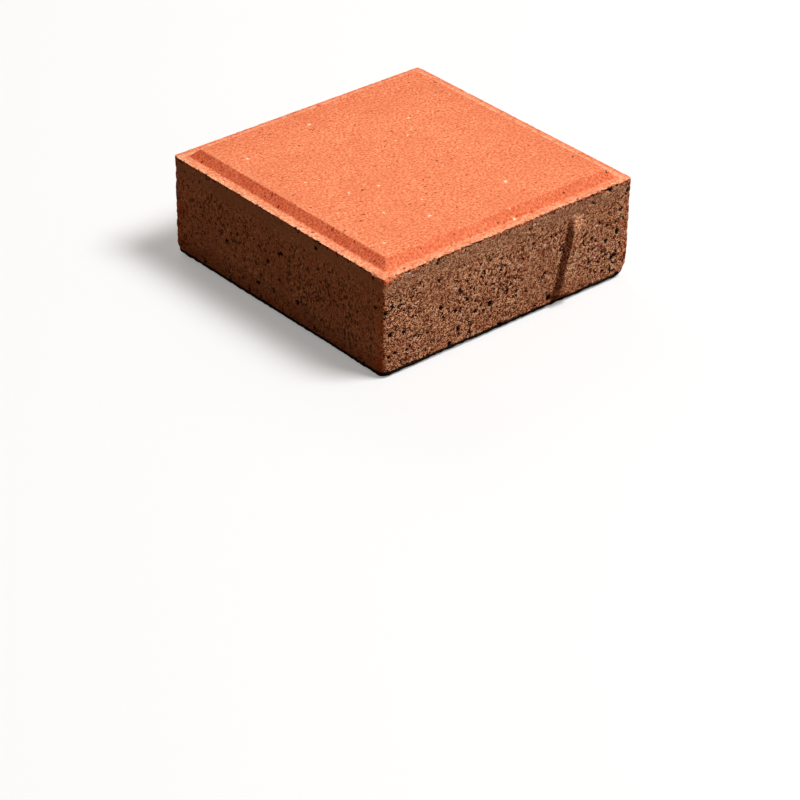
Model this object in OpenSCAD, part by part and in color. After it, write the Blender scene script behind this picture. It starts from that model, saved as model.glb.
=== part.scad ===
// Square concrete paving stone, dry-pressed in a steel mould as one piece.
// A bevel runs round the raised walking face, with a flat land outside it, and one wall carries
// a tapered spacer rib that keeps the joint to the next stone open.
// The stone lies on its bed: X and Y run along its walls and Z points up, with the origin at the
// middle of the bed. The rib is on the wall that faces -Y.

/* [Stone] */
// Side of the square stone, from wall to wall
stone_side = 150; // [100:1:300]
// Height from the bed to the walking face
stone_h = 55; // [40:1:80]

/* [Arris] */
// Width of the flat land between the wall and the bevel
land_w = 5; // [4:0.5:12]
// Width of the bevel, seen from above
bevel_run = 4; // [2:0.5:10]
// Height of the bevel, from the land to the walking face
bevel_rise = 4; // [2:0.5:10]

/* [Rounded edges] */
// Radius of the upright corners, in plan
corner_r = 3; // [3:0.5:8]
// Radius between the walls and the bed
foot_r = 2.5; // [1:0.5:3]

/* [Spacer rib] */
// Distance from the rib's middle to the end of its wall
rib_from_end = 38.5; // [20:0.5:60]
// Lean of the rib from upright, with its top towards the near end of the wall
rib_lean = 12; // [0:0.5:14]
// Width of the rib's upper end, on the wall
rib_top_w = 9; // [8:0.5:12]
// Width of the rib's lower end, on the wall
rib_foot_w = 12.5; // [8:0.5:16]
// Height of the rib's crest over the wall
rib_proud = 3; // [1:0.1:4]
// Slope of the rib's left flank, from the wall
rib_left_flank = 64; // [45:1:80]
// Slope of the rib's right flank, from the wall
rib_right_flank = 38; // [32:1:60]
// Distance from the land down to the rib's upper end
rib_drop = 8; // [4:0.5:15]
// Distance from the rounded foot up to the rib's lower end
rib_lift = 1; // [0.5:0.5:6]

/* [Hidden] */
$fn = 64;

// Height of the walls, which end at the land
wall_h = stone_h - bevel_rise;
// Sides of the bevel, where it leaves the land and where it meets the walking face
bevel_foot = stone_side - 2 * land_w;
bevel_top = bevel_foot - 2 * bevel_run;
// Distance from the stone's middle to the axis of an upright corner
corner_at = stone_side / 2 - corner_r;
// The walking face's block starts halfway up, inside the stone
block_from = wall_h / 2;
// Ends and middle of the rib, where it meets the wall
rib_foot_z = foot_r + rib_lift;
rib_top_z = wall_h - rib_drop;
rib_mid_z = (rib_foot_z + rib_top_z) / 2;
rib_mid_w = (rib_foot_w + rib_top_w) / 2;
// Angle at which each side of the rib closes in on its middle line, going up
rib_taper = atan((rib_foot_w - rib_top_w) / 2 / (rib_top_z - rib_foot_z));

// Section of the stone's lower part: upright walls on a rounded foot
module wall_section(width) {
    translate([-width / 2, foot_r])
        square([width, wall_h - foot_r]);
    translate([-width / 2 + foot_r, 0])
        square([width - 2 * foot_r, wall_h]);
    for (side = [-1, 1])
        translate([side * (width / 2 - foot_r), foot_r])
            circle(foot_r);
}

// Lower part of the stone, up to the land: two slabs that cross, and a turned post in each corner
module walls() {
    for (turn = [0, 90])
        rotate([90, 0, turn])
            linear_extrude(2 * corner_at, center = true)
                wall_section(stone_side);
    for (x = [-corner_at, corner_at], y = [-corner_at, corner_at])
        translate([x, y, 0])
            rotate_extrude()
                intersection() {
                    translate([-corner_at, 0])
                        wall_section(stone_side);
                    square([corner_r, wall_h]);
                }
}

// Raised walking face: two bevelled sections that cross, so that the bevels mitre in the corners
module walking_face() {
    intersection_for (turn = [0, 90])
        rotate([90, 0, turn])
            linear_extrude(stone_side, center = true)
                polygon([
                    [-bevel_foot / 2, block_from],
                    [bevel_foot / 2, block_from],
                    [bevel_foot / 2, wall_h],
                    [bevel_top / 2, stone_h],
                    [-bevel_top / 2, stone_h],
                    [-bevel_foot / 2, wall_h]
                ]);
}

// All that lies behind one flank of the rib: side is -1 for the left flank and 1 for the right one
module behind_flank(side, slope) {
    translate([stone_side / 2 - rib_from_end, -stone_side / 2, rib_mid_z])
        rotate([0, rib_lean - side * rib_taper, 0])
            translate([side * rib_mid_w / 2, 0, 0])
                rotate([0, 0, side * (slope - 90)])
                    translate([-side * stone_side / 2, 0, 0])
                        cube([stone_side, stone_side, 2 * stone_h], center = true);
}

// Spacer rib: a steep and a gentle flank that close in upwards, a flat crest, and ends that slope
// back to the wall
module spacer_rib() {
    wall_y = -stone_side / 2;
    intersection() {
        behind_flank(-1, rib_left_flank);
        behind_flank(1, rib_right_flank);
        rotate([90, 0, 90])
            linear_extrude(stone_side, center = true)
                polygon([
                    [wall_y + rib_proud, rib_foot_z],
                    [wall_y, rib_foot_z],
                    [wall_y - rib_proud, rib_foot_z + rib_proud],
                    [wall_y - rib_proud, rib_top_z - rib_proud],
                    [wall_y, rib_top_z],
                    [wall_y + rib_proud, rib_top_z]
                ]);
    }
}

module paving_stone() {
    color("#d9805a") {
        walls();
        walking_face();
        spacer_rib();
    }
}

paving_stone();
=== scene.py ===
import math
import random

import bpy
import numpy as np
from mathutils import Matrix, Vector, kdtree, noise


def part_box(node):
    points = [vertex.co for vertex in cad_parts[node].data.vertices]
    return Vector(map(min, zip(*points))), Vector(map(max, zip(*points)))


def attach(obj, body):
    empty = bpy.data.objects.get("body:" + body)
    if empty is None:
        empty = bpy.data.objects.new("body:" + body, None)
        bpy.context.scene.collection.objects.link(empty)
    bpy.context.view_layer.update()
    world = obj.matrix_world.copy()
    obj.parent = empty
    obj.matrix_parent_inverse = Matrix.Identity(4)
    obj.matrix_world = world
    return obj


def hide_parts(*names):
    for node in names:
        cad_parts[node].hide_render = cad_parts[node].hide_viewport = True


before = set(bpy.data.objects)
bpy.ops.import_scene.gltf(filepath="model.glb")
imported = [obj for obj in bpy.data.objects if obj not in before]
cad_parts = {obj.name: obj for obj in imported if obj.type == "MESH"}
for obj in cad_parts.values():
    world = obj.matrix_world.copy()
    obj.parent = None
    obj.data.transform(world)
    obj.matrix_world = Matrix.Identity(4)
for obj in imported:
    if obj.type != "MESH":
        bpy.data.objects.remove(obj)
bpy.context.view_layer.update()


# Moulded block
# The stone is one block of semi-dry concrete, pressed and shaken in a steel mould. Its walls are
# upright, its corners and foot are rounded, and a flat land and a bevel rim the raised walking face.
# The feet of its upright corners have worn rounder than the mould made them.
MM = 0.001
low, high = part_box("paving_stone")
side = (high.x - low.x) / MM
height = (high.z - low.z) / MM
half = side / 2
land_w = 5.0
bevel_run = 4.0
bevel_rise = 4.0
bevel_wear = 0.25
corner_r = 1.5
foot_r = 2.5
foot_turns = 5
wall_h = height - bevel_rise
# Spacing of the mesh on the top, down the walls and across the rib
top_step = 0.9
wall_step = 0.8
rib_step = 0.55
rib_stretch = (24.5, 47.0)
# Rings of the bed, as shares of its edge
bed_shrinks = (0.96, 0.88, 0.75, 0.55, 0.3)
# Worn radius at the foot and height of the wear, by the signs of X and Y at the corner
corner_wear = {(-1, -1): (4.5, 24.0), (1, -1): (8.0, 12.0), (1, 1): (6.0, 10.0), (-1, 1): (5.0, 8.0)}


def spaced(marks, steps):
    """Points along a line, through every mark and at most the step of each stretch apart."""
    points = [marks[0]]
    for start, end, step in zip(marks, marks[1:], steps):
        count = math.ceil((end - start) / step - 1e-6)
        points += [start + (end - start) * (i + 1) / count for i in range(count)]
    return np.array(points)


def round_corners(x, y, radius):
    """Bends the corners of a square of the stone's side into arcs."""
    straight = half - radius
    a = np.clip((np.abs(x) - straight) / radius, 0, 1)
    b = np.clip((np.abs(y) - straight) / radius, 0, 1)
    bent_x = np.minimum(np.abs(x), straight) + radius * a * np.sqrt(1 - b * b / 2)
    bent_y = np.minimum(np.abs(y), straight) + radius * b * np.sqrt(1 - a * a / 2)
    return np.sign(x) * bent_x, np.sign(y) * bent_y


def top_height(from_wall):
    """Height of the land, the bevel and the walking face, at a distance from the wall."""
    return wall_h + bevel_rise * np.clip((from_wall - land_w) / bevel_run, 0, 1)


bevel_top = land_w + bevel_run
bevel_lines = [land_w - bevel_wear, land_w + bevel_wear, bevel_top - bevel_wear, bevel_top + bevel_wear]
rim = [0, corner_r, *bevel_lines]
marks = [m - half for m in rim] + list(rib_stretch) + [half - m for m in reversed(rim)]
steps = [rib_step if start == rib_stretch[0] else top_step for start in marks]
along = spaced(marks, steps)
count = len(along)
last = count - 1
grid_x, grid_y = np.meshgrid(along, along)
grid_from_wall = half - np.maximum(np.abs(grid_x), np.abs(grid_y))
grid_z = sum(top_height(grid_from_wall + worn) for worn in (-bevel_wear, 0, bevel_wear)) / 3
round_x, round_y = round_corners(grid_x, grid_y, corner_r)
points = [np.stack([round_x, round_y, grid_z], -1).reshape(-1, 3)]

# Points along the arris, once round, and the rows of the walls below them: height and inset
ring = list(range(last))
ring += [r * count + last for r in range(last)]
ring += [last * count + c for c in range(last, 0, -1)]
ring += [r * count for r in range(last, 0, -1)]
around = len(ring)
square_x = grid_x.ravel()[ring]
square_y = grid_y.ravel()[ring]
rows = [(z, 0.0) for z in spaced([foot_r, wall_h], [wall_step])[-2::-1]]
for turn in range(1, foot_turns + 1):
    angle = math.pi / 2 * turn / foot_turns
    rows.append((foot_r * (1 - math.sin(angle)), foot_r * (1 - math.cos(angle))))
corner_signs = [(1 if a > 0 else -1, 1 if b > 0 else -1) for a, b in zip(square_x, square_y)]
worn_r, worn_h = np.array([corner_wear[signs] for signs in corner_signs]).T
for z, inset in rows:
    radius = corner_r + (worn_r - corner_r) * np.clip(1 - z / worn_h, 0, 1)**2
    rim_xy = np.column_stack(round_corners(square_x, square_y, radius))
    straight = (half - radius)[:, None]
    outward = rim_xy - np.clip(rim_xy, -straight, straight)
    outward /= np.linalg.norm(outward, axis=1, keepdims=True)
    points.append(np.column_stack([rim_xy - outward * inset, np.full(around, z)]))
bed_edge = points[-1]
for shrink in bed_shrinks:
    points.append(bed_edge * [shrink, shrink, 1])
points = np.concatenate(points)

# Faces, and the place of each face's corners on a flat sheet: the face, the bed and four wall strips
sheet_gap = 4.0
sheet_side = 2 * side + 3 * sheet_gap
strip_h = wall_h + foot_r
strip_from = [side + 2 * sheet_gap, side + strip_h + 3 * sheet_gap]
column_from = [sheet_gap, side + 2 * sheet_gap]
faces = []
spots = []


def bed_spots(corners):
    """Places on the sheet of the corners of a face of the bed."""
    return [(column_from[1] + half + points[i][0], sheet_gap + half + points[i][1]) for i in corners]


for r in range(last):
    for c in range(last):
        corner = r * count + c
        faces.append((corner, corner + 1, corner + count + 1, corner + count))
        for v, u in ((r, c), (r, c + 1), (r + 1, c + 1), (r + 1, c)):
            spots.append((column_from[0] + half + along[u], sheet_gap + half + along[v]))
upper = ring
upper_v = strip_h
upper_row = (wall_h, 0.0)
for row in range(len(rows) + len(bed_shrinks)):
    start = count * count + row * around
    lower = list(range(start, start + around))
    if row < len(rows):
        lower_v = upper_v - math.dist(upper_row, rows[row])
        upper_row = rows[row]
    for k in range(around):
        beside = (k + 1) % around
        quad = (upper[k], lower[k], lower[beside], upper[beside])
        faces.append(quad)
        if row < len(rows):
            wall, step = divmod(k, last)
            u0, u1 = (column_from[wall % 2] + half + along[i] for i in (step, step + 1))
            base = strip_from[wall // 2]
            v0, v1 = base + upper_v, base + lower_v
            spots += [(u0, v0), (u0, v1), (u1, v1), (u1, v0)]
        else:
            spots += bed_spots(quad)
    upper = lower
    upper_v = lower_v
cap = tuple(reversed(upper))
faces.append(cap)
spots += bed_spots(cap)

mesh = bpy.data.meshes.new("paving_stone")
mesh.from_pydata((points * MM).tolist(), [], faces)
sheet = mesh.uv_layers.new(name="OFBake")
sheet.data.foreach_set("uv", (np.array(spots) / sheet_side).astype(np.float32).ravel())
mesh.update()
normals = np.empty(len(points) * 3, np.float32)
mesh.vertices.foreach_get("normal", normals)
normals = normals.reshape(-1, 3).astype(float)
x, y, z = points.T
on_top = np.zeros(len(points), bool)
on_top[:count * count] = True
on_wall = np.zeros(len(points), bool)
on_wall[ring] = True
on_wall[count * count:count * count + len(rows) * around] = True
on_bed = ~on_top & ~on_wall
FRONT, RIGHT, BACK, LEFT = range(4)
facing = np.where(np.abs(y) >= np.abs(x), np.where(y < 0, FRONT, BACK), np.where(x > 0, RIGHT, LEFT))


# Spacer rib
# A tapered rib, moulded with the stone on one wall, keeps the joint to the next stone open.
# Its left flank is steep and its right one gentle. The crest tore a little as it left the mould.
rib_proud = -low.y / MM - half
rib_x = half - 38.5
rib_lean = math.radians(12.0)
left_flank = math.radians(64.0)
right_flank = math.radians(38.0)
rib_top_w = 9.0
rib_foot_w = 12.5
rib_foot_z = foot_r + 1.0
rib_top_z = wall_h - 8.0
rib_end_slope = 0.5
torn_share = 0.4
flank_w = 2.5


def cloud(places, size, seed):
    """Soft random hills from -1 to 1, about one size across, at each of the places."""
    shift = Vector((seed * 7.3, seed * 3.1, seed * 5.7))
    return np.array([noise.noise(Vector(p) / size + shift) for p in places])


rib_along = np.clip((z - rib_foot_z) / (rib_top_z - rib_foot_z), 0, 1)
rib_half_w = (rib_foot_w + (rib_top_w - rib_foot_w) * rib_along) / 2
rib_middle = rib_x + (z - (rib_foot_z + rib_top_z) / 2) * math.tan(rib_lean)
rib_out = np.minimum.reduce([
    (rib_half_w + x - rib_middle) * math.tan(left_flank),
    (rib_half_w - x + rib_middle) * math.tan(right_flank),
    z - rib_foot_z, rib_end_slope * (rib_top_z - z), np.full(len(points), rib_proud)])
rib_out = np.where(on_wall & (facing == FRONT), np.maximum(rib_out, 0), 0)
torn = np.maximum(0.9 * cloud(points, 1.5, 21) + 0.7 * cloud(points, 3.5, 22), 0)
torn *= np.clip(1 - np.abs(x - rib_middle + 2.0) / 2.5, 0, 1) + np.clip((z - rib_top_z + 9) / 6, 0, 1)
rib_out -= np.clip(torn_share * torn, 0, 1) * np.clip(rib_out - 0.5 * rib_proud, 0, None)
# Painted highlight: the ridge beside the right flank is painted palest, and the crest a little paler
# than the wall
ridge = rib_middle + rib_half_w - rib_proud / math.tan(right_flank)
crest = np.clip((x - ridge + 0.5) / 0.6, 0, 1) * np.clip((ridge + 2.0 - x) / 0.6, 0, 1)
crest += 0.3 * np.clip((x - rib_middle + 2.6) / 0.8, 0, 1) * np.clip((ridge - x) / 0.6, 0, 1)
crest *= np.clip(rib_out / 0.8, 0, 1)
crest *= np.clip((z - rib_foot_z) / 16, 0.5, 1) * np.clip((rib_top_z - z) / 6, 0.5, 1)
# Painted shade on the left flank: depth inside its outline, with one value for all points far outside
far_off = -2.0
up_flank = x - rib_middle + rib_half_w
flank = np.minimum.reduce([
    up_flank + 0.3, flank_w - up_flank, z - rib_foot_z + 1.0, rib_top_z - z - 0.5])
flank = np.where(on_wall & (facing == FRONT), np.maximum(flank, far_off), far_off)


# Grit, voids and crumbled edges
# The mix is coarse sand and cement with little water, so the walls come out of the mould gritty and
# full of air voids, smoother near the top where the press bears. The edges crumble as it is handled.
fine_grit = 0.10 * cloud(points, 1.1, 1) + 0.12 * cloud(points, 2.3, 2)
coarse_grit = 0.14 * cloud(points, 6.0, 3)
sway = 0.25 * cloud(points, 35.0, 4)
band_h = 10.0
band = np.clip((z - (wall_h - band_h)) / 4 + 0.5 * cloud(points, 8.0, 5), 0, 1)
# How far the grit lifts each point off the moulded surface, in mm
lift = np.where(on_wall, sway - 0.25 + (1.3 * fine_grit + coarse_grit) * (1.1 - 0.6 * band), 0)
lift = np.where(on_top, 0.15 * fine_grit + 0.2 * coarse_grit - 0.1, lift)
lift = np.where(on_bed, -np.abs(fine_grit + coarse_grit), lift)


def by_wall(front, right, back, left):
    """A value for each point, from the wall that it is on or nearest to."""
    return np.array([front, right, back, left])[facing]


# Distance from the front corner
from_front = np.hypot(x + half, y + half)


def near_front(reach):
    """1 at the front corner, falling off to 0 within about two reaches of it."""
    return np.exp(-(from_front / reach)**2)


# Distance from the arris between the wall and the land, over either of them. Crumbs have gone from
# it, and at the front corner it is rubbed round
from_wall = np.where(on_top, half - np.maximum(np.abs(x), np.abs(y)), 0)
from_wall = np.maximum(from_wall, 0)
from_arris = np.where(on_top, from_wall, np.maximum(wall_h - z, 0))
arris_chip = by_wall(1.5, 0.2, 0.2, 0.9) + near_front(10)
chip_reach = 1.4
corner_rub = 0.9
rub_reach = 1.8
chips = np.clip(cloud(points, 2.0, 6) + 0.8 * cloud(points, 0.9, 7), 0, 1)
lift -= arris_chip * chips * np.clip(1 - from_arris / chip_reach, 0, 1)
lift -= corner_rub * near_front(9) * np.clip(1 - from_arris / rub_reach, 0, 1)

# Distance from the upright edges along the walls, and the crumbs that have gone from them
from_edge = half - np.minimum(np.abs(x), np.abs(y))
edge_chip = 0.55
crumbs = np.clip(0.25 + cloud(points, 3.2, 8) + 0.6 * cloud(points, 1.3, 9), 0, 1.2)
edge = np.where(on_wall, np.clip(1.2 - from_edge / 4, 0, 1), 0) * np.clip((wall_h - z) / 6, 0.2, 1)
lift -= edge_chip * edge * crumbs
foot_chip = 0.35
lift -= np.where(on_wall, foot_chip * crumbs * np.clip(1 - z / 3.5, 0, 1), 0)

# Air voids: wall, place along it from its middle as seen from outside, height, radius
voids = [
    (FRONT, -73.5, 33.0, 1.2), (FRONT, -70.5, 21.5, 1.3), (FRONT, -65.0, 37.0, 1.0),
    (FRONT, -60.5, 10.5, 1.0), (FRONT, -41.0, 24.5, 1.3), (FRONT, -23.0, 9.0, 1.0),
    (FRONT, -17.0, 17.0, 1.0), (FRONT, -11.5, 16.0, 1.7), (FRONT, -5.5, 31.0, 1.0),
    (FRONT, -4.5, 2.0, 1.4), (FRONT, 1.0, 21.5, 1.1), (FRONT, 9.0, 1.5, 1.1),
    (FRONT, 20.5, 18.0, 1.1), (FRONT, 28.0, 37.5, 1.0), (FRONT, 25.0, 5.5, 1.8),
    (FRONT, 50.0, 15.0, 1.2), (FRONT, 52.0, 21.5, 1.0), (FRONT, 55.5, 34.0, 1.1),
    (FRONT, 60.5, 50.0, 1.4), (FRONT, 60.0, 23.0, 1.2), (FRONT, 67.0, 25.5, 1.4),
    (FRONT, 64.5, 12.5, 1.6), (FRONT, 67.0, 15.5, 1.0), (FRONT, 71.5, 44.0, 1.0),
    (FRONT, 68.5, 36.5, 1.1), (FRONT, 61.5, 37.0, 1.0), (FRONT, 65.5, 31.0, 1.0),
    (FRONT, 60.5, 31.0, 1.1), (FRONT, 51.0, 27.0, 1.1), (FRONT, 58.0, 18.0, 1.0),
    (FRONT, 56.0, 13.5, 1.0), (FRONT, 59.0, 7.5, 1.1), (FRONT, 25.0, 37.5, 1.0),
    (LEFT, -61.0, 33.0, 0.9), (LEFT, -36.0, 22.5, 1.3), (LEFT, -6.0, 25.0, 1.4),
    (LEFT, 4.0, 33.0, 1.2), (LEFT, 15.5, 13.0, 1.5), (LEFT, 30.0, 37.0, 1.1),
    (LEFT, 69.0, 34.5, 1.2),
]
# Smaller voids at random, more of them low down, and some along the arris of the two near walls
wall_voids = {FRONT: 95, RIGHT: 80, BACK: 80, LEFT: 60}
arris_voids = {FRONT: 36, RIGHT: 0, BACK: 0, LEFT: 8}
void_span = half - 2
picked = random.Random(8)
for wall in (FRONT, RIGHT, BACK, LEFT):
    for _ in range(wall_voids[wall]):
        up = 1.5 + (wall_h - 3) * picked.random()**1.4
        sideways = picked.uniform(-void_span, void_span)
        radius = 0.65 + 0.65 * picked.random()**2
        if wall != FRONT or not rib_stretch[0] < sideways < rib_stretch[1]:
            voids.append((wall, sideways, up, radius))
    for _ in range(arris_voids[wall]):
        sideways = picked.uniform(-void_span, void_span)
        up = wall_h - 0.9 * picked.random()
        radius = 0.6 + 0.7 * picked.random()**2
        voids.append((wall, sideways, up, radius))
wall_point = {
    FRONT: lambda a, up: (a, -half, up),
    RIGHT: lambda a, up: (half, a, up),
    BACK: lambda a, up: (-a, half, up),
    LEFT: lambda a, up: (-half, -a, up),
}
hollows = [(wall_point[wall](a, up), radius) for wall, a, up, radius in voids]

# Pinholes and white grains of the walking face: X, Y, radius
pinholes = [
    (-67, -30, 0.8), (-69, -61, 0.7), (66, -67, 0.9), (63, -47, 0.7), (51, -38, 0.6), (56, -53, 0.7),
    (49, 11, 0.6), (53, 25, 0.7), (-21, -40, 0.6), (-9, -58, 0.6), (-19, -62, 0.6), (-61, 4, 0.7),
    (-63, -20, 0.6), (38, -68, 0.7), (-3, -69, 0.7), (-8, 28, 0.6),
]
white_grains = [
    (-11, 54, 1.3), (-55, 45, 1.1), (30, 30, 1.1), (18, 17, 1.1), (10, 16, 1.0), (-40, -10, 1.1),
    (-25, -13, 1.1), (-40, -34, 1.2), (-19, -35, 1.0), (-26, -49, 1.2), (22, -46, 1.4), (-58, -55, 1.1),
    (6, -70, 1.2), (-49, 10, 1.0),
]


def face_point(a, b):
    """Point of the walking face, its bevel or its land at that X and Y."""
    return a, b, top_height(half - max(abs(a), abs(b)))


hollows += [(face_point(a, b), radius) for a, b, radius in pinholes]

# Depth of each point inside the nearest void or white grain, and how far a void sinks it
near = kdtree.KDTree(len(points))
for i, p in enumerate(points):
    near.insert(p, i)
near.balance()
ragged = 0.35 * cloud(points, 1.4, 10)
hollow = np.full(len(points), far_off)
sink = np.zeros(len(points))
for middle, radius in hollows:
    for _, i, gap in near.find_range(middle, radius - far_off):
        inside = radius - gap * (1 + ragged[i])
        hollow[i] = max(hollow[i], inside)
        sink[i] = max(sink[i], min(1.3 * inside, radius))
lift -= sink
white = np.full(len(points), far_off)
for a, b, radius in white_grains:
    for _, i, gap in near.find_range(face_point(a, b), radius - far_off):
        white[i] = max(white[i], radius - gap)

# Lower edge of the red face mix, which laps over the arris and has run down at the front corner
lap = 0.25
corner_run = by_wall(1.9, 0.0, 0.0, 1.5)
lap_z = wall_h - lap - corner_run * near_front(8) - from_wall
# Red mix rubbed on the upright edges and the foot, and painted shade on the lowest part of the walls,
# most on the plain left wall
ruddy_reach = by_wall(2.0, 6.0, 6.0, 5.0)
ruddy_reach += np.where((facing == FRONT) & (x > 0), 4.0, 0.0)
ruddy_reach += np.where((facing == LEFT) & (y > 0), 7.0, 0.0)
ruddy = np.clip(1.1 - from_edge / ruddy_reach, 0, 1) * np.clip(1.5 - z / 38, 0.3, 1)
ruddy = np.maximum(ruddy, 0.3 * np.clip(1 - z / 9, 0, 1))
ruddy = np.where(on_wall, np.clip(ruddy * (0.8 + 1.4 * cloud(points, 5.0, 11)), 0, 1), 0)
foot_shade = np.clip(1 - (z - 2) / 13, 0, 1) * by_wall(0.1, 0.4, 0.4, 1.0)
# The face mix frays most over the ribbed wall, and there its red fringe and the painted shade in the
# notches under it are strongest
lap_fray = by_wall(8.0, 2.0, 2.0, 5.0) + 4.0 * corner_run * near_front(8)
fringe_and_notch_shade = by_wall(1.0, 0.2, 0.4, 0.6) + 0.4 * near_front(10)
# The land is paler, most of all on the outer half of the near rims and the inner half of the others.
# The bevel is redder, more so towards its top. Painted shade darkens and reddens the outermost edge of
# the land on the two far rims, every bevel but the plain left one, and a wide strip of the face along
# the two far bevels. Along the plain left bevel the face is a little paler. The die has rubbed the
# ribbed wall's bevel most
on_land = np.clip((land_w - from_wall) / (2 * bevel_wear) + 0.5, 0, 1)
outer = np.clip(1.2 - from_wall / 3.2, 0, 1)
land_pale = on_land * np.where(np.isin(facing, (FRONT, LEFT)), 0.35 + 0.45 * outer, 0.9 - 0.9 * outer)
on_bevel = np.clip((bevel_top - from_wall) / (2 * bevel_wear) + 0.5, 0, 1) - on_land
beside_bevel = np.clip(1 - (from_wall - bevel_top) / 6, 0, 1) * (1 - on_bevel - on_land)
land_pale += (0.15 * beside_bevel + 0.2 * on_land * outer) * (facing == LEFT)
land_pale = np.where(on_top, land_pale, 0)
up_bevel = np.clip((from_wall - land_w) / bevel_run, 0, 1)
bevel_tint = on_bevel * (0.75 + 0.25 * up_bevel) * by_wall(0.2, 0.5, 0.5, 1.0)
bevel_rub = on_bevel * by_wall(1.0, 0.3, 0.6, 0.3) * np.clip(0.7 + x / half, 0.2, 1)
along_wall = np.where(np.abs(y) >= np.abs(x), x, y)
shoulder_w = 25.0
on_shoulder = np.clip(1 - (from_wall - bevel_top) / shoulder_w, 0, 1) * (1 - on_bevel - on_land)
shoulder_shade = on_shoulder * by_wall(0.0, 0.6, 1.0, 0.0)
shoulder_shade += on_bevel * by_wall(0.9, 1.0, 1.0, 0.0)
shoulder_shade += on_land * outer**2 * by_wall(0.0, 0.8, 0.8, 0.0)
# The ribbed wall is the most open-grained. On two of the walls the pores are narrower and taller,
# and most of them are halfway up
open_grain = by_wall(1.0, 0.7, 0.9, 0.45)
pitted = by_wall(0.0, 0.03, 0.0, 0.07) * np.exp(-((z - 26) / 16)**2)
pored = np.isin(facing, (LEFT, RIGHT)) & on_wall
tall = np.where(pored, 0.8, 1.0)
narrow = np.where(pored, 1.35, 1.0)

# The finished mesh, with what was worked out above kept on its points for the material
moved = points + normals * lift[:, None]
moved[:, 1] -= rib_out
moved[:, 2] = np.maximum(moved[:, 2], 0)
mesh.vertices.foreach_set("co", (moved * MM).astype(np.float32).ravel())
measured = {
    "hollow": hollow, "white": white, "band": band, "lap_z": lap_z, "lap_fray": lap_fray,
    "from_wall": from_wall, "along_wall": along_wall, "bevel_tint": bevel_tint, "tall": tall,
    "open_grain": open_grain, "crest": crest, "shoulder_shade": shoulder_shade, "land_pale": land_pale,
    "bevel_rub": bevel_rub, "pitted": pitted, "flank": flank, "foot_shade": foot_shade, "fringe_and_notch_shade": fringe_and_notch_shade,
    "narrow": narrow, "ruddy": ruddy,
}
for name, values in measured.items():
    mesh.attributes.new(name, "FLOAT", "POINT").data.foreach_set("value", values.astype(np.float32))
mesh.polygons.foreach_set("use_smooth", np.ones(len(mesh.polygons), bool))
edge_ends = np.empty(len(mesh.edges) * 2, np.int32)
mesh.edges.foreach_get("vertices", edge_ends)
edge_ends = edge_ends.reshape(-1, 2)
crisp = np.isin(edge_ends, ring).all(1)
for line in bevel_lines:
    on_line = on_top & np.isclose(from_wall, line, atol=0.02)
    crisp |= on_line[edge_ends].all(1)
mesh.attributes.new("sharp_edge", "BOOLEAN", "EDGE").data.foreach_set("value", crisp)
mesh.update()
stone = bpy.data.objects.new("paving_stone_pressed", mesh)
bpy.context.scene.collection.objects.link(stone)


# Pressed concrete, red-faced
# Sand and cement, pigmented red in the walking face and brown in the body. The eye sees a dry, dull,
# sandy surface: grains and flecks on the face, and dark pores and pale grains on the walls. Shade is
# painted into the colour in the pores and voids, in the notches under the fringe, on the rib's left
# flank, along the far rims and low on the walls, and a highlight is painted on the rib's ridge.
def linear(code):
    """An sRGB hex colour as linear red, green, blue and alpha."""
    parts = [int(code[i:i + 2], 16) / 255 for i in (1, 3, 5)]
    return (*[p / 12.92 if p <= 0.04045 else ((p + 0.055) / 1.055)**2.4 for p in parts], 1)


def add_node(tree, kind, inputs, **settings):
    """Adds a shader node. An input is a number, a colour or another node's output."""
    made = tree.nodes.new("ShaderNode" + kind)
    for name, value in settings.items():
        setattr(made, name, value)
    for name, value in inputs.items():
        if isinstance(value, bpy.types.NodeSocket):
            tree.links.new(value, made.inputs[name])
        else:
            made.inputs[name].default_value = value
    return made.outputs


# Colour sockets of a mix node
MIX_A, MIX_B, MIX_OUT = 6, 7, 2
concrete = bpy.data.materials.new("pressed_concrete_red_faced")
concrete.use_nodes = True
tree = concrete.node_tree
tree.nodes.clear()
place = add_node(tree, "TexCoord", {})["Object"]
in_mm = add_node(tree, "VectorMath", {0: place, "Scale": 1 / MM}, operation="SCALE")[0]
up = add_node(tree, "SeparateXYZ", {0: in_mm})["Z"]
field = {name: add_node(tree, "Attribute", {}, attribute_name=name)["Fac"] for name in measured}
# Places stirred a little, so that the patterns on them have ragged outlines
stir_mm = 0.8
stir_reach = (0.9, 0.9, 0.9)
stir = add_node(tree, "TexNoise", {"Vector": in_mm, "Scale": 1 / stir_mm, "Detail": 1.0})["Color"]
stirred = add_node(
    tree, "VectorMath", {0: stir, 1: stir_reach, 2: in_mm}, operation="MULTIPLY_ADD")[0]
fray_mm = 0.7
fray = add_node(tree, "TexNoise", {"Vector": in_mm, "Scale": 1 / fray_mm, "Detail": 2.0})[0]

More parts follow.
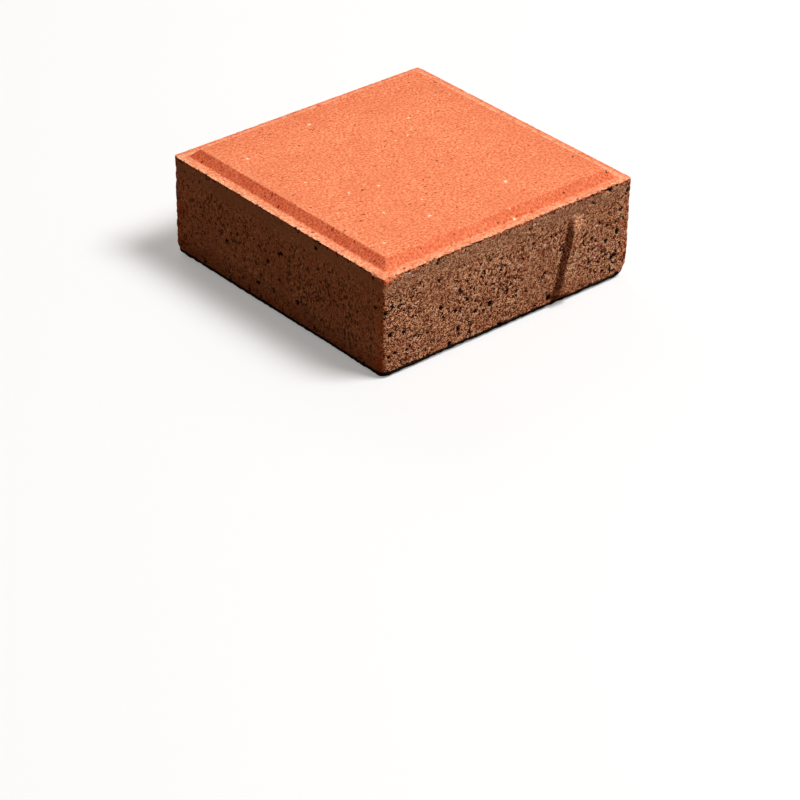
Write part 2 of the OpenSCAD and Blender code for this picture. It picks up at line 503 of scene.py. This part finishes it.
# Body: sand grains in dark cement, with pits and pale grains among them; the pits are painted near
# black, painted shade in the pores. Small random cells break up the outlines of the grains. The plain
# walls are more closed and duller, and the band under the land is smoother
speck_mm = 0.45
speck_reach = (0.5, 0.5, 0.5)
speck = add_node(tree, "TexVoronoi", {"Vector": in_mm, "Scale": 1 / speck_mm})["Color"]
specked = add_node(
    tree, "VectorMath", {0: speck, 1: speck_reach, 2: in_mm}, operation="MULTIPLY_ADD")[0]
sand_mm = 0.7
sand_bed = add_node(tree, "TexNoise", {"Vector": in_mm, "Scale": 1 / sand_mm, "Detail": 0.0})[0]
sand = add_node(tree, "TexNoise", {"Vector": specked, "Scale": 1 / sand_mm, "Detail": 0.0})[0]
sand_off = add_node(tree, "MapRange", {0: sand, 1: 0.0, 2: 1.0, 3: -3.7, 4: 3.7}, clamp=False)[0]
sand_tone = add_node(
    tree, "Math", {0: sand_off, 1: field["open_grain"], 2: 0.5}, operation="MULTIPLY_ADD")[0]
dark_sand = add_node(tree, "MapRange", {0: sand_tone, 1: 0.5, 2: 0.0})[0]
body = add_node(
    tree, "Mix", {0: dark_sand, MIX_A: linear("#db7d4e"), MIX_B: linear("#5e210a")},
    data_type="RGBA")[MIX_OUT]
pale_sand = add_node(tree, "MapRange", {0: sand_tone, 1: 0.5, 2: 1.3})[0]
body = add_node(
    tree, "Mix", {0: pale_sand, MIX_A: body, MIX_B: linear("#ffcea2")}, data_type="RGBA")[MIX_OUT]
closed = add_node(tree, "MapRange", {0: field["open_grain"], 1: 1.0, 2: 0.45, 3: 0.0, 4: 0.45})[0]
body = add_node(
    tree, "Mix", {0: closed, MIX_A: body, MIX_B: linear("#b98364")}, data_type="RGBA")[MIX_OUT]
stain_mm = 14.0
stain = add_node(tree, "TexNoise", {"Vector": in_mm, "Scale": 1 / stain_mm, "Detail": 3.0})[0]
body_stain = add_node(tree, "MapRange", {0: stain, 1: 0.35, 2: 0.7, 3: 0.0, 4: 0.4})[0]
body = add_node(
    tree, "Mix", {0: body_stain, MIX_A: body, MIX_B: linear("#904f2f")}, data_type="RGBA")[MIX_OUT]
band_share = add_node(tree, "Math", {0: closed, 1: 0.4, 2: 0.35}, operation="MULTIPLY_ADD")[0]
band_share = add_node(tree, "Math", {0: field["band"], 1: band_share}, operation="MULTIPLY")[0]
body = add_node(
    tree, "Mix", {0: band_share, MIX_A: body, MIX_B: linear("#a97d5f")}, data_type="RGBA")[MIX_OUT]
# A gain multiplies the red, green and blue of what it is laid on
ruddy_gain = (1.2, 0.75, 0.55, 1)
body = add_node(
    tree, "Mix", {0: field["ruddy"], MIX_A: body, MIX_B: ruddy_gain},
    data_type="RGBA", blend_type="MULTIPLY")[MIX_OUT]
grain_mm = 3.6
grain_cells = add_node(tree, "TexVoronoi", {"Vector": stirred, "Scale": 1 / grain_mm})
grain_pick = add_node(tree, "SeparateColor", {0: grain_cells["Color"]})
grain_r = add_node(tree, "MapRange", {0: grain_pick[0], 1: 0.86, 2: 1.0, 3: 0.0, 4: 0.32})[0]
grain_edge = add_node(tree, "Math", {0: grain_r, 1: grain_cells["Distance"]}, operation="SUBTRACT")[0]
grain = add_node(tree, "MapRange", {0: grain_edge, 1: 0.0, 2: 0.08})[0]
body = add_node(
    tree, "Mix", {0: grain, MIX_A: body, MIX_B: linear("#f0d2bb")}, data_type="RGBA")[MIX_OUT]
# Painted highlight on the rib's ridge and crest
crest_gain = (1.8, 2.0, 2.2, 1)
body = add_node(
    tree, "Mix", {0: field["crest"], MIX_A: body, MIX_B: crest_gain},
    data_type="RGBA", blend_type="MULTIPLY", clamp_result=True)[MIX_OUT]
stirred_xyz = add_node(tree, "SeparateXYZ", {0: stirred})
drawn_z = add_node(tree, "Math", {0: stirred_xyz[2], 1: field["tall"]}, operation="MULTIPLY")[0]
drawn_y = add_node(tree, "Math", {0: stirred_xyz[1], 1: field["narrow"]}, operation="MULTIPLY")[0]
upright = add_node(tree, "CombineXYZ", {0: stirred_xyz[0], 1: drawn_y, 2: drawn_z})[0]
pit_mm = 1.8
pits = add_node(tree, "TexNoise", {"Vector": upright, "Scale": 1 / pit_mm, "Detail": 1.0})[0]
pale_grain = add_node(tree, "MapRange", {0: pits, 1: 0.74, 2: 0.8, 3: 0.0, 4: 0.85})[0]
body = add_node(
    tree, "Mix", {0: pale_grain, MIX_A: body, MIX_B: linear("#ffd8bd")}, data_type="RGBA")[MIX_OUT]
pits = add_node(tree, "Math", {0: stain, 1: 0.35, 2: pits}, operation="MULTIPLY_ADD")[0]
pits = add_node(tree, "Math", {0: pits, 1: field["pitted"]}, operation="SUBTRACT")[0]
pits = add_node(tree, "Math", {0: field["band"], 1: 0.08, 2: pits}, operation="MULTIPLY_ADD")[0]
# The pits are painted near black: painted shade in the pores
pit = add_node(tree, "MapRange", {0: pits, 1: 0.53, 2: 0.48})[0]
pit_share = add_node(tree, "MapRange", {0: field["open_grain"], 1: 0.45, 3: 0.68, 4: 1.0})[0]
pit = add_node(tree, "Math", {0: pit, 1: pit_share}, operation="MULTIPLY")[0]
body = add_node(tree, "Mix", {0: pit, MIX_A: body, MIX_B: linear("#200502")}, data_type="RGBA")[MIX_OUT]

# Painted shade on the left flank of the rib, with a torn outline
flank_edge = add_node(tree, "Math", {0: fray, 1: 2.4, 2: field["flank"]}, operation="MULTIPLY_ADD")[0]
dark_flank = add_node(tree, "MapRange", {0: flank_edge, 1: 1.1, 2: 1.6})[0]
flank_gain = (0.42, 0.32, 0.25, 1)
body = add_node(
    tree, "Mix", {0: dark_flank, MIX_A: body, MIX_B: flank_gain},
    data_type="RGBA", blend_type="MULTIPLY")[MIX_OUT]

# Face: fine red-pigmented sand with small dark and pale flecks, paler on the land, redder and grittier
# on the bevel. It is finer in the stone: the grains are drawn coarser so that they show
face_mm = 1.1
fine = add_node(tree, "TexNoise", {
    "Vector": specked, "Scale": 1 / face_mm, "Detail": 1.0, "Roughness": 0.6})[0]
fine_tone = add_node(tree, "MapRange", {0: fine, 1: 0.31, 2: 0.69})[0]
face = add_node(
    tree, "Mix", {0: fine_tone, MIX_A: linear("#df5e31"), MIX_B: linear("#ffa779")},
    data_type="RGBA")[MIX_OUT]
blotch_mm = 18.0
blotch = add_node(tree, "TexNoise", {"Vector": in_mm, "Scale": 1 / blotch_mm, "Detail": 1.0})[0]
blotch_share = add_node(tree, "MapRange", {0: blotch, 1: 0.4, 2: 0.75, 3: 0.0, 4: 0.35})[0]
face = add_node(
    tree, "Mix", {0: blotch_share, MIX_A: face, MIX_B: linear("#e0744a")}, data_type="RGBA")[MIX_OUT]
land_gain = (1.02, 1.6, 2.0, 1)
face = add_node(
    tree, "Mix", {0: field["land_pale"], MIX_A: face, MIX_B: land_gain},
    data_type="RGBA", blend_type="MULTIPLY")[MIX_OUT]
# Painted shade, darker and redder, along the far rims and on the bevels
shoulder_shade_gain = (0.94, 0.86, 0.84, 1)
face = add_node(
    tree, "Mix", {0: field["shoulder_shade"], MIX_A: face, MIX_B: shoulder_shade_gain},
    data_type="RGBA", blend_type="MULTIPLY")[MIX_OUT]
# Marks of the die on the bevel: how many to a millimetre along the wall and across it
drags_per_mm = (1.5, 0.8, 1)
drag_at = add_node(tree, "CombineXYZ", {0: field["along_wall"], 1: field["from_wall"]})[0]
drag_at = add_node(tree, "VectorMath", {0: drag_at, 1: drags_per_mm}, operation="MULTIPLY")[0]
drag = add_node(tree, "TexNoise", {"Vector": drag_at, "Scale": 1.0, "Detail": 2.0})[0]
rubbed = add_node(tree, "MapRange", {0: drag, 1: 0.48, 2: 0.62, 3: 0.0, 4: 0.7})[0]
rubbed = add_node(tree, "Math", {0: rubbed, 1: field["bevel_rub"]}, operation="MULTIPLY")[0]
bevel_gain = (1.27, 0.98, 0.92, 1)
face = add_node(
    tree, "Mix", {0: field["bevel_tint"], MIX_A: face, MIX_B: bevel_gain},
    data_type="RGBA", blend_type="MULTIPLY")[MIX_OUT]
bevel_grit = add_node(tree, "MapRange", {0: sand, 1: 0.5, 2: 0.36, 3: 0.0, 4: 0.65})[0]
bevel_grit = add_node(tree, "Math", {0: bevel_grit, 1: field["bevel_tint"]}, operation="MULTIPLY")[0]
face = add_node(
    tree, "Mix", {0: bevel_grit, MIX_A: face, MIX_B: linear("#b03218")}, data_type="RGBA")[MIX_OUT]
face = add_node(
    tree, "Mix", {0: rubbed, MIX_A: face, MIX_B: linear("#c2502a")}, data_type="RGBA")[MIX_OUT]
fleck_mm = 2.0
flecks = add_node(tree, "TexNoise", {"Vector": stirred, "Scale": 1 / fleck_mm, "Detail": 1.0})[0]
flecks = add_node(
    tree, "Math", {0: field["bevel_tint"], 1: -0.03, 2: flecks}, operation="MULTIPLY_ADD")[0]
dark_fleck = add_node(tree, "MapRange", {0: flecks, 1: 0.29, 2: 0.23, 3: 0.0, 4: 0.9})[0]
face = add_node(
    tree, "Mix", {0: dark_fleck, MIX_A: face, MIX_B: linear("#86200a")}, data_type="RGBA")[MIX_OUT]
pale_fleck = add_node(tree, "MapRange", {0: flecks, 1: 0.72, 2: 0.79, 3: 0.0, 4: 0.7})[0]
face = add_node(
    tree, "Mix", {0: pale_fleck, MIX_A: face, MIX_B: linear("#ffd0a4")}, data_type="RGBA")[MIX_OUT]
white_edge = add_node(tree, "Math", {0: fray, 1: -2.4, 2: field["white"]}, operation="MULTIPLY_ADD")[0]
white_grain = add_node(tree, "MapRange", {0: white_edge, 1: -0.9, 2: -0.7})[0]
face = add_node(
    tree, "Mix", {0: white_grain, MIX_A: face, MIX_B: linear("#ffdfc0")}, data_type="RGBA")[MIX_OUT]

# Face over body, with a frayed red fringe and painted shade in the notches under it, the voids in both
# painted dark as painted shade, and painted shade and a painted contact shadow low down
above_lap = add_node(tree, "Math", {0: up, 1: field["lap_z"]}, operation="SUBTRACT")[0]
# The teeth of the fringe and the notches between them are about three times as tall as wide
tooth_mm = 1.5
tooth_share = (1, 1, 0.3)
hanging = add_node(tree, "VectorMath", {0: in_mm, 1: tooth_share}, operation="MULTIPLY")[0]
teeth = add_node(tree, "TexNoise", {"Vector": hanging, "Scale": 1 / tooth_mm, "Detail": 1.0})[0]
fray_off = add_node(tree, "Math", {0: teeth, 1: 0.5}, operation="SUBTRACT")[0]
lap_over = add_node(
    tree, "Math", {0: fray_off, 1: field["lap_fray"], 2: above_lap}, operation="MULTIPLY_ADD")[0]
faced = add_node(tree, "MapRange", {0: lap_over, 1: -0.1, 2: 0.1})[0]
colour = add_node(tree, "Mix", {0: faced, MIX_A: body, MIX_B: face}, data_type="RGBA")[MIX_OUT]
fringe = add_node(tree, "MapRange", {0: lap_over, 1: -0.9, 2: -0.5})[0]
fringe = add_node(tree, "Math", {0: fringe, 1: field["fringe_and_notch_shade"]}, operation="MULTIPLY")[0]
fringe_end = add_node(tree, "MapRange", {0: lap_over, 1: 0.0, 2: 0.2, 3: 0.8, 4: 0.0})[0]
fringe = add_node(tree, "Math", {0: fringe, 1: fringe_end}, operation="MULTIPLY")[0]
colour = add_node(
    tree, "Mix", {0: fringe, MIX_A: colour, MIX_B: linear("#b8431f")}, data_type="RGBA")[MIX_OUT]
# Painted shade in the notches between the fringe's teeth, under the lap
notch_mm = 1.4
notches = add_node(tree, "TexNoise", {"Vector": hanging, "Scale": 1 / notch_mm, "Detail": 1.0})[0]
notches = add_node(
    tree, "Math", {0: field["fringe_and_notch_shade"], 1: -0.07, 2: notches}, operation="MULTIPLY_ADD")[0]
notch_shade = add_node(tree, "MapRange", {0: notches, 1: 0.41, 2: 0.37})[0]
under_lap = add_node(tree, "MapRange", {0: lap_over, 1: -1.2, 2: -0.9})[0]
notch_shade = add_node(tree, "Math", {0: notch_shade, 1: under_lap}, operation="MULTIPLY")[0]
above = add_node(tree, "MapRange", {0: lap_over, 1: 0.0, 2: 0.3, 3: 1.0, 4: 0.0})[0]
notch_shade = add_node(tree, "Math", {0: notch_shade, 1: above}, operation="MULTIPLY")[0]
colour = add_node(
    tree, "Mix", {0: notch_shade, MIX_A: colour, MIX_B: linear("#55140a")}, data_type="RGBA")[MIX_OUT]
# The voids are painted near black inside, redder where the face mix is: painted shade
hollow_edge = add_node(tree, "Math", {0: fray, 1: 2.2, 2: field["hollow"]}, operation="MULTIPLY_ADD")[0]
in_hollow = add_node(tree, "MapRange", {0: hollow_edge, 1: 1.15, 2: 1.4})[0]
hollow_shade = add_node(
    tree, "Mix", {0: faced, MIX_A: linear("#0e0402"), MIX_B: linear("#4f1c0e")},
    data_type="RGBA")[MIX_OUT]
colour = add_node(
    tree, "Mix", {0: in_hollow, MIX_A: colour, MIX_B: hollow_shade}, data_type="RGBA")[MIX_OUT]
# Painted shade on the lowest part of the walls
foot_shade_gain = (0.62, 0.47, 0.32, 1)
colour = add_node(
    tree, "Mix", {0: field["foot_shade"], MIX_A: colour, MIX_B: foot_shade_gain},
    data_type="RGBA", blend_type="MULTIPLY")[MIX_OUT]
# Painted contact shadow: the lowest few millimetres of the walls are painted near black, with a frayed
# top
contact_shade_top = add_node(tree, "Math", {0: fray, 1: 1.6, 2: up}, operation="MULTIPLY_ADD")[0]
contact_shade = add_node(tree, "MapRange", {0: contact_shade_top, 1: 3.8, 2: 4.4, 3: 0.98, 4: 0.0})[0]
colour = add_node(
    tree, "Mix", {0: contact_shade, MIX_A: colour, MIX_B: linear("#0c0503")}, data_type="RGBA")[MIX_OUT]

# Relief too fine for the mesh
body_relief = add_node(tree, "Math", {0: sand_bed, 1: field["open_grain"]}, operation="MULTIPLY")[0]
body_relief = add_node(tree, "Math", {0: body_relief, 1: 0.5}, operation="MULTIPLY")[0]
body_relief = add_node(tree, "Math", {0: pit, 1: -0.4, 2: body_relief}, operation="MULTIPLY_ADD")[0]
face_relief = add_node(tree, "Math", {0: sand_bed, 1: 0.1}, operation="MULTIPLY")[0]
relief = add_node(tree, "Mix", {0: faced, 2: body_relief, 3: face_relief})[0]
bump = add_node(tree, "Bump", {"Height": relief, "Distance": MM, "Strength": 1.0})[0]
surface = add_node(tree, "BsdfPrincipled", {
    "Base Color": colour, "Roughness": 0.9, "IOR": 1.5, "Specular IOR Level": 0.25, "Normal": bump})[0]
add_node(tree, "OutputMaterial", {"Surface": surface})
mesh.materials.append(concrete)
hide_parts("paving_stone")
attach(stone, "root")


# Floor
# A plain pale studio floor. It shows near white with a soft shadow, and what it throws back on the
# stone is a dim warm light.
floor_half = 4.0
floor_mesh = bpy.data.meshes.new("floor")
floor_corners = [(a * floor_half, b * floor_half, 0) for a, b in ((-1, -1), (1, -1), (1, 1), (-1, 1))]
floor_mesh.from_pydata(floor_corners, [], [(0, 1, 2, 3)])
floor = bpy.data.objects.new("floor", floor_mesh)
bpy.context.scene.collection.objects.link(floor)
floor_paint = bpy.data.materials.new("matt_studio_floor")
floor_paint.use_nodes = True
tree = floor_paint.node_tree
tree.nodes.clear()
seen = add_node(tree, "LightPath", {})["Is Camera Ray"]
floor_colour = add_node(
    tree, "Mix", {0: seen, MIX_A: linear("#6c472a"), MIX_B: linear("#f6f7f8")},
    data_type="RGBA")[MIX_OUT]
matt = add_node(tree, "BsdfDiffuse", {"Color": floor_colour})[0]
glow = add_node(tree, "Emission", {"Color": linear("#fcfcfc")})[0]
floor_glow = 0.28
glow_share = add_node(tree, "Math", {0: seen, 1: floor_glow}, operation="MULTIPLY")[0]
surface = add_node(tree, "MixShader", {0: glow_share, 1: matt, 2: glow})[0]
add_node(tree, "OutputMaterial", {"Surface": surface})
floor_mesh.materials.append(floor_paint)


# Light and camera
# One large soft lamp from the right, a weak one from behind, and a dim even sky. The camera looks
# down on the corner between the plain wall and the ribbed wall.
def soft_lamp(name, azimuth, elevation, distance, size, power):
    """A square lamp that faces the stone, seen from it at that azimuth and elevation."""
    data = bpy.data.lights.new(name, "AREA")
    data.size = size
    data.energy = power
    lamp = bpy.data.objects.new(name, data)
    bpy.context.scene.collection.objects.link(lamp)
    a, e = math.radians(azimuth), math.radians(elevation)
    towards = Vector((math.sin(a) * math.cos(e), -math.cos(a) * math.cos(e), math.sin(e)))
    lamp.location = towards * distance
    lamp.rotation_euler = towards.to_track_quat("Z", "Y").to_euler()


soft_lamp("key_lamp", azimuth=38, elevation=60, distance=4.0, size=1.6, power=170)
soft_lamp("back_lamp", azimuth=160, elevation=25, distance=2.0, size=1.2, power=6)
sky = bpy.data.worlds.new("dim_sky")
sky.use_nodes = True
tree = sky.node_tree
tree.nodes.clear()
seen = add_node(tree, "LightPath", {})["Is Camera Ray"]
sky_strength = 0.195
sky_level = add_node(tree, "MapRange", {0: seen, 3: sky_strength, 4: 1.0})[0]
sky_colour = add_node(
    tree, "Mix", {0: seen, MIX_A: linear("#f6e2cc"), MIX_B: linear("#f6f4f0")},
    data_type="RGBA")[MIX_OUT]
light = add_node(tree, "Background", {"Color": sky_colour, "Strength": sky_level})[0]
add_node(tree, "OutputWorld", {"Surface": light})
bpy.context.scene.world = sky

camera_data = bpy.data.cameras.new("camera")
camera_data.lens = 135
camera_data.sensor_width = 36
camera = bpy.data.objects.new("camera", camera_data)
bpy.context.scene.collection.objects.link(camera)
view_azimuth, view_elevation, view_roll = (math.radians(d) for d in (-41.3, 32.0, 1.1))
view_distance = 1.305
view_aim = Vector((-0.0791, -0.0917, 0))
back = Vector((
    math.sin(view_azimuth) * math.cos(view_elevation),
    -math.cos(view_azimuth) * math.cos(view_elevation),
    math.sin(view_elevation)))
camera.matrix_world = (
    Matrix.Translation(view_aim + back * view_distance)
    @ back.to_track_quat("Z", "Y").to_matrix().to_4x4()
    @ Matrix.Rotation(view_roll, 4, "Z"))
bpy.context.scene.camera = camera
bpy.context.scene.view_settings.view_transform = "Standard"
